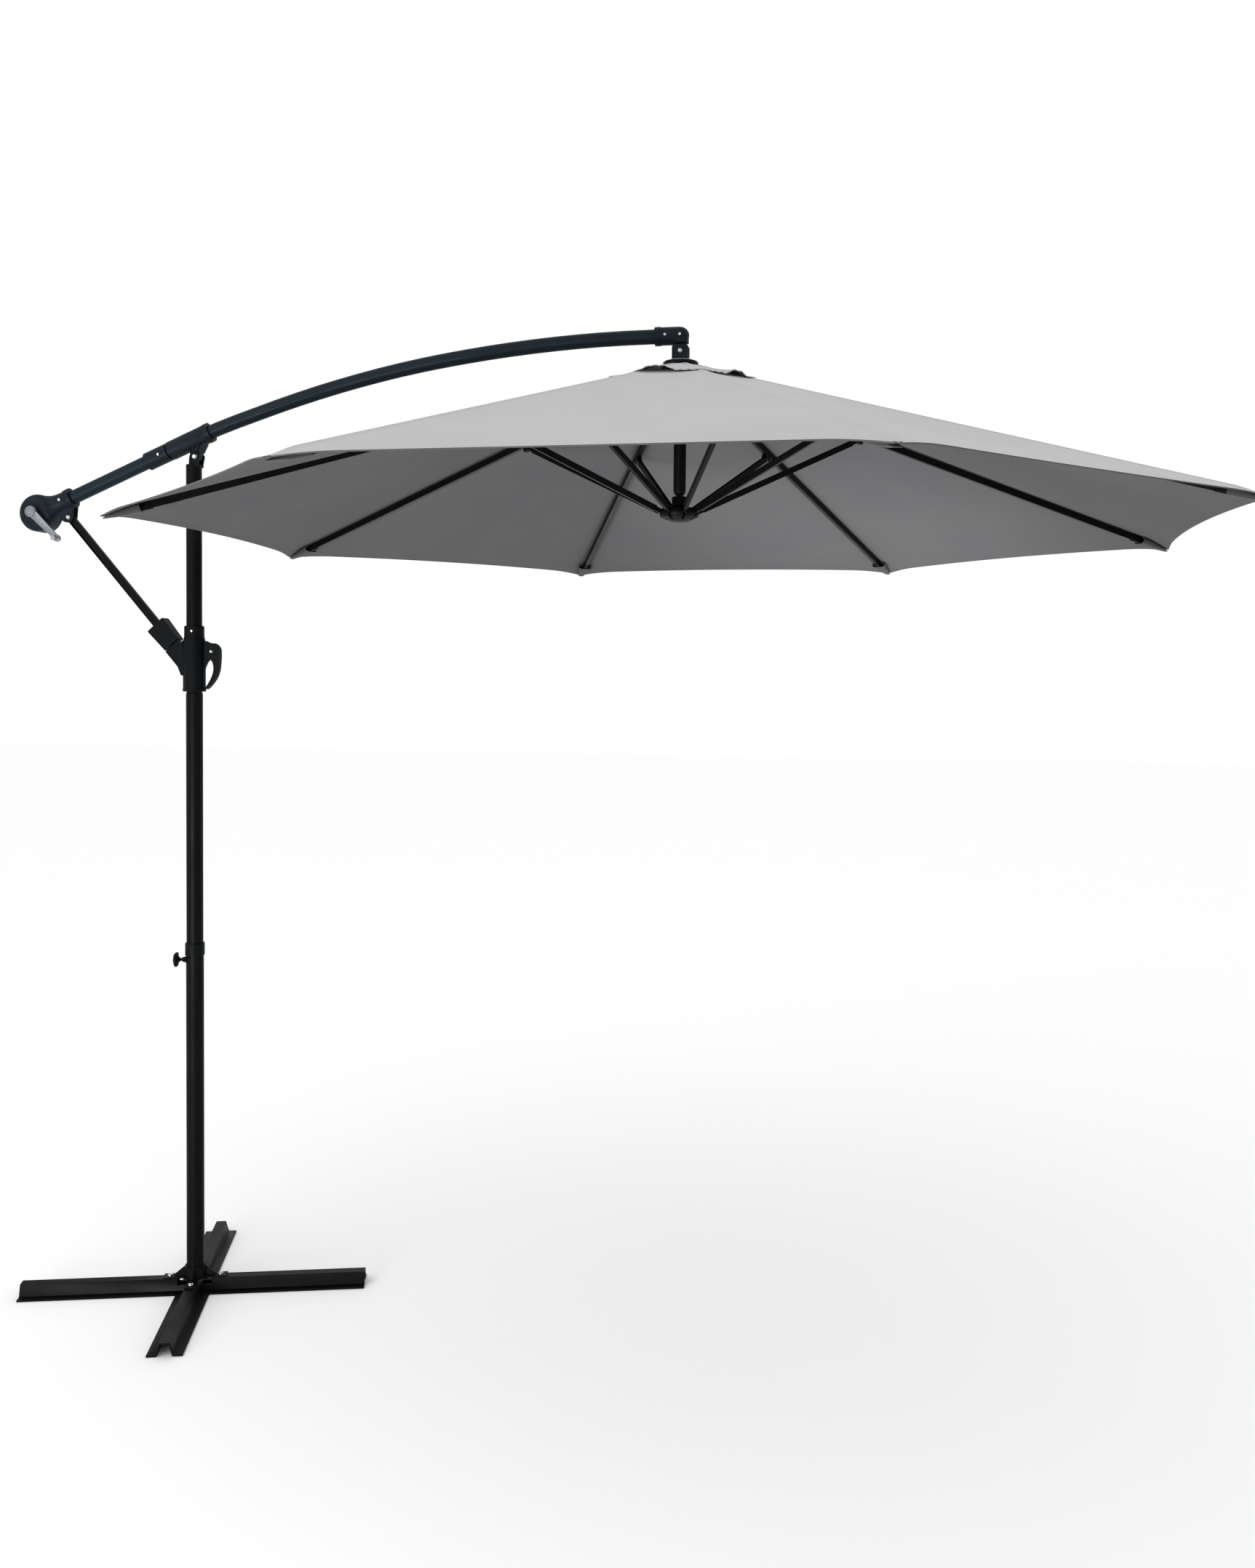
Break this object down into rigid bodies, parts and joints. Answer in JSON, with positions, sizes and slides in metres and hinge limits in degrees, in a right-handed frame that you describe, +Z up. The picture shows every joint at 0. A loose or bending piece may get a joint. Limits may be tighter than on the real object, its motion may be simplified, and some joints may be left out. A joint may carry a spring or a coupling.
{
  "type": "cantilever parasol",
  "caption": "Offset garden parasol: cross base, pole with sliding arm lock and tie rod, arched arm with crank winder, hanging folding octagonal canopy.",
  "frame": {"origin": "on the ground under the centre of the whole object's box", "axes": "+X along the arm from the pole to the canopy, +Z up, +Y to the left of the arm"},
  "size_m": [3.2401, 2.6682, 2.6782],
  "materials": {
    "base_steel": "satin powder coat, near black",
    "pole_steel": "satin powder coat, near black",
    "arm_aluminium": "satin powder coat, dark blue grey",
    "rib_aluminium": "satin powder coat, black",
    "black_plastic": "fine moulded texture",
    "blue_black_plastic": "fine moulded texture",
    "screw_steel": "bright zinc",
    "silver_plastic": "silver paint",
    "canopy_cloth": "woven polyester, light grey",
    "pale_plastic": "light grey"
  },
  "bodies": {
    "base": {"base_bar_long": "base_steel", "base_bar_cross": "base_steel", "pole_foot": "base_steel", "foot_bolt_1": "screw_steel", "foot_bolt_2": "screw_steel", "foot_bolt_3": "screw_steel", "foot_bolt_4": "screw_steel", "lower_pole": "pole_steel", "pole_collar": "black_plastic", "knob_bush": "black_plastic"},
    "knob": {"clamp_knob": "black_plastic"},
    "mast": {"middle_pole": "pole_steel", "top_pole": "pole_steel", "pole_head": "black_plastic", "pivot_bolt": "screw_steel"},
    "slider_body": {"slider": "black_plastic", "slider_ring": "black_plastic", "trigger_pin": "screw_steel"},
    "trigger_lever": {"trigger": "black_plastic"},
    "rod": {"tie_rod": "pole_steel", "rod_socket": "black_plastic"},
    "arm": {"rear_arm_tube": "arm_aluminium", "arm_tube": "arm_aluminium", "arm_coupler": "blue_black_plastic", "arm_bracket": "blue_black_plastic", "winder_housing": "blue_black_plastic", "winder_cover": "blue_black_plastic", "rod_pin": "screw_steel", "elbow": "blue_black_plastic", "hanger_pin": "screw_steel"},
    "crank": {"winding_drum": "black_plastic", "crank_handle": "silver_plastic", "crank_grip": "silver_plastic"},
    "pulley": {"rope_pulley": "black_plastic"},
    "canopy_top": {"canopy_hanger": "blue_black_plastic", "top_disc": "pale_plastic", "crown": "black_plastic", "canopy_post": "rib_aluminium", "canopy_fabric": "canopy_cloth", "vent_cap": "canopy_cloth"},
    "runner_hub": {"runner": "black_plastic"},
    "rib_1_arm": {"rib_1": "rib_aluminium"},
    "strut_1_arm": {"strut_1": "rib_aluminium"},
    "rib_2_arm": {"rib_2": "rib_aluminium"},
    "strut_2_arm": {"strut_2": "rib_aluminium"},
    "rib_3_arm": {"rib_3": "rib_aluminium"},
    "strut_3_arm": {"strut_3": "rib_aluminium"},
    "rib_4_arm": {"rib_4": "rib_aluminium"},
    "strut_4_arm": {"strut_4": "rib_aluminium"},
    "rib_5_arm": {"rib_5": "rib_aluminium"},
    "strut_5_arm": {"strut_5": "rib_aluminium"},
    "rib_6_arm": {"rib_6": "rib_aluminium"},
    "strut_6_arm": {"strut_6": "rib_aluminium"},
    "rib_7_arm": {"rib_7": "rib_aluminium"},
    "strut_7_arm": {"strut_7": "rib_aluminium"},
    "rib_8_arm": {"rib_8": "rib_aluminium"},
    "strut_8_arm": {"strut_8": "rib_aluminium"}
  },
  "joints": [
    {"name": "clamp_knob_turn", "type": "hinge", "parent": "base", "child": "knob", "pos_m": [-1.091, 0, 0.947], "axis": [-0.9588, -0.284, 0], "range_deg": [0, 360]},
    {"name": "pole_swivel", "type": "hinge", "parent": "base", "child": "mast", "pos_m": [-1.091, 0, 0], "axis": [0, 0, 1], "continuous": true},
    {"name": "arm_tilt", "type": "hinge", "parent": "mast", "child": "arm", "pos_m": [-1.081, 0, 2.364], "axis": [0, 1, 0], "range_deg": [0, 20]},
    {"name": "slider_slide", "type": "slide", "parent": "mast", "child": "slider_body", "axis": [0, 0, 1], "range_m": [-0.001, 0.178]},
    {"name": "trigger_squeeze", "type": "hinge", "parent": "slider_body", "child": "trigger_lever", "pos_m": [-1.0354, 0, 1.8198], "axis": [0, -1, 0], "range_deg": [0, 12], "stiffness_Nm_per_rad": 1.5, "springref_deg": -8.59},
    {"name": "rod_swing", "type": "hinge", "parent": "arm", "child": "rod", "pos_m": [-1.471, 0, 2.201], "axis": [0, 1, 0], "range_deg": [-26, 0.5]},
    {"name": "canopy_tilt", "type": "hinge", "parent": "arm", "child": "canopy_top", "pos_m": [0.286, 0, 2.612], "axis": [0, 1, 0], "range_deg": [-20.5, 0.5]},
    {"name": "crank_turn", "type": "hinge", "parent": "arm", "child": "crank", "pos_m": [-1.567, 0, 2.2143], "axis": [0, 1, 0], "range_deg": [-5, 1805]},
    {"name": "pulley_turn", "type": "hinge", "parent": "arm", "child": "pulley", "pos_m": [0.286, 0, 2.6534], "axis": [0, 1, 0], "range_deg": [-5, 3300]},
    {"name": "runner_slide", "type": "slide", "parent": "canopy_top", "child": "runner_hub", "axis": [0, 0, 1], "range_m": [-0.6103, 0.001]},
    {"name": "canopy_fold", "type": "hinge", "parent": "canopy_top", "child": "rib_1_arm", "pos_m": [0.3248, 0.01607, 2.556], "axis": [-0.3827, 0.9239, 0], "range_deg": [0, 66], "deforming": ["canopy_fabric", "vent_cap"]},
    {"name": "strut_1_fold", "type": "hinge", "parent": "rib_1_arm", "child": "strut_1_arm", "pos_m": [0.74396, 0.18969, 2.40152], "axis": [-0.3827, 0.9239, 0], "range_deg": [-126.65, 0.5]},
    {"name": "rib_2_fold", "type": "hinge", "parent": "canopy_top", "child": "rib_2_arm", "pos_m": [0.30207, 0.0388, 2.556], "axis": [-0.9239, 0.3827, 0], "range_deg": [-0.5, 66.5]},
    {"name": "strut_2_fold", "type": "hinge", "parent": "rib_2_arm", "child": "strut_2_arm", "pos_m": [0.47569, 0.45796, 2.40152], "axis": [-0.9239, 0.3827, 0], "range_deg": [-126.65, 0.5]},
    {"name": "rib_3_fold", "type": "hinge", "parent": "canopy_top", "child": "rib_3_arm", "pos_m": [0.26993, 0.0388, 2.556], "axis": [-0.9239, -0.3827, 0], "range_deg": [-0.5, 66.5]},
    {"name": "strut_3_fold", "type": "hinge", "parent": "rib_3_arm", "child": "strut_3_arm", "pos_m": [0.09631, 0.45796, 2.40152], "axis": [-0.9239, -0.3827, 0], "range_deg": [-126.65, 0.5]},
    {"name": "rib_4_fold", "type": "hinge", "parent": "canopy_top", "child": "rib_4_arm", "pos_m": [0.2472, 0.01607, 2.556], "axis": [-0.3827, -0.9239, 0], "range_deg": [-0.5, 66.5]},
    {"name": "strut_4_fold", "type": "hinge", "parent": "rib_4_arm", "child": "strut_4_arm", "pos_m": [-0.17195, 0.18969, 2.40152], "axis": [-0.3827, -0.9239, 0], "range_deg": [-126.65, 0.5]},
    {"name": "rib_5_fold", "type": "hinge", "parent": "canopy_top", "child": "rib_5_arm", "pos_m": [0.2472, -0.01607, 2.556], "axis": [0.3827, -0.9239, 0], "range_deg": [-0.5, 66.5]},
    {"name": "strut_5_fold", "type": "hinge", "parent": "rib_5_arm", "child": "strut_5_arm", "pos_m": [-0.17195, -0.18969, 2.40152], "axis": [0.3827, -0.9239, 0], "range_deg": [-126.65, 0.5]},
    {"name": "rib_6_fold", "type": "hinge", "parent": "canopy_top", "child": "rib_6_arm", "pos_m": [0.26993, -0.0388, 2.556], "axis": [0.9239, -0.3827, 0], "range_deg": [-0.5, 66.5]},
    {"name": "strut_6_fold", "type": "hinge", "parent": "rib_6_arm", "child": "strut_6_arm", "pos_m": [0.09631, -0.45796, 2.40152], "axis": [0.9239, -0.3827, 0], "range_deg": [-126.65, 0.5]},
    {"name": "rib_7_fold", "type": "hinge", "parent": "canopy_top", "child": "rib_7_arm", "pos_m": [0.30207, -0.0388, 2.556], "axis": [0.9239, 0.3827, 0], "range_deg": [-0.5, 66.5]},
    {"name": "strut_7_fold", "type": "hinge", "parent": "rib_7_arm", "child": "strut_7_arm", "pos_m": [0.47569, -0.45796, 2.40152], "axis": [0.9239, 0.3827, 0], "range_deg": [-126.65, 0.5]},
    {"name": "rib_8_fold", "type": "hinge", "parent": "canopy_top", "child": "rib_8_arm", "pos_m": [0.3248, -0.01607, 2.556], "axis": [0.3827, 0.9239, 0], "range_deg": [-0.5, 66.5]},
    {"name": "strut_8_fold", "type": "hinge", "parent": "rib_8_arm", "child": "strut_8_arm", "pos_m": [0.74396, -0.18969, 2.40152], "axis": [0.3827, 0.9239, 0], "range_deg": [-126.65, 0.5]}
  ],
  "couplings": [
    {"joint": "slider_slide", "follows": "arm_tilt", "m_per_rad": 0.49917},
    {"joint": "rod_swing", "follows": "arm_tilt", "ratio": -1.2581},
    {"joint": "canopy_tilt", "follows": "arm_tilt", "ratio": -1},
    {"joint": "runner_slide", "follows": "canopy_fold", "m_per_rad": -0.52811},
    {"joint": "crank_turn", "follows": "canopy_fold", "ratio": 27.273},
    {"joint": "pulley_turn", "follows": "canopy_fold", "ratio": 45.922},
    {"joint": "strut_1_fold", "follows": "canopy_fold", "ratio": -1.9113},
    {"joint": "rib_2_fold", "follows": "canopy_fold", "ratio": 1},
    {"joint": "strut_2_fold", "follows": "canopy_fold", "ratio": -1.9113},
    {"joint": "rib_3_fold", "follows": "canopy_fold", "ratio": 1},
    {"joint": "strut_3_fold", "follows": "canopy_fold", "ratio": -1.9113},
    {"joint": "rib_4_fold", "follows": "canopy_fold", "ratio": 1},
    {"joint": "strut_4_fold", "follows": "canopy_fold", "ratio": -1.9113},
    {"joint": "rib_5_fold", "follows": "canopy_fold", "ratio": 1},
    {"joint": "strut_5_fold", "follows": "canopy_fold", "ratio": -1.9113},
    {"joint": "rib_6_fold", "follows": "canopy_fold", "ratio": 1},
    {"joint": "strut_6_fold", "follows": "canopy_fold", "ratio": -1.9113},
    {"joint": "rib_7_fold", "follows": "canopy_fold", "ratio": 1},
    {"joint": "strut_7_fold", "follows": "canopy_fold", "ratio": -1.9113},
    {"joint": "rib_8_fold", "follows": "canopy_fold", "ratio": 1},
    {"joint": "strut_8_fold", "follows": "canopy_fold", "ratio": -1.9113}
  ]
}
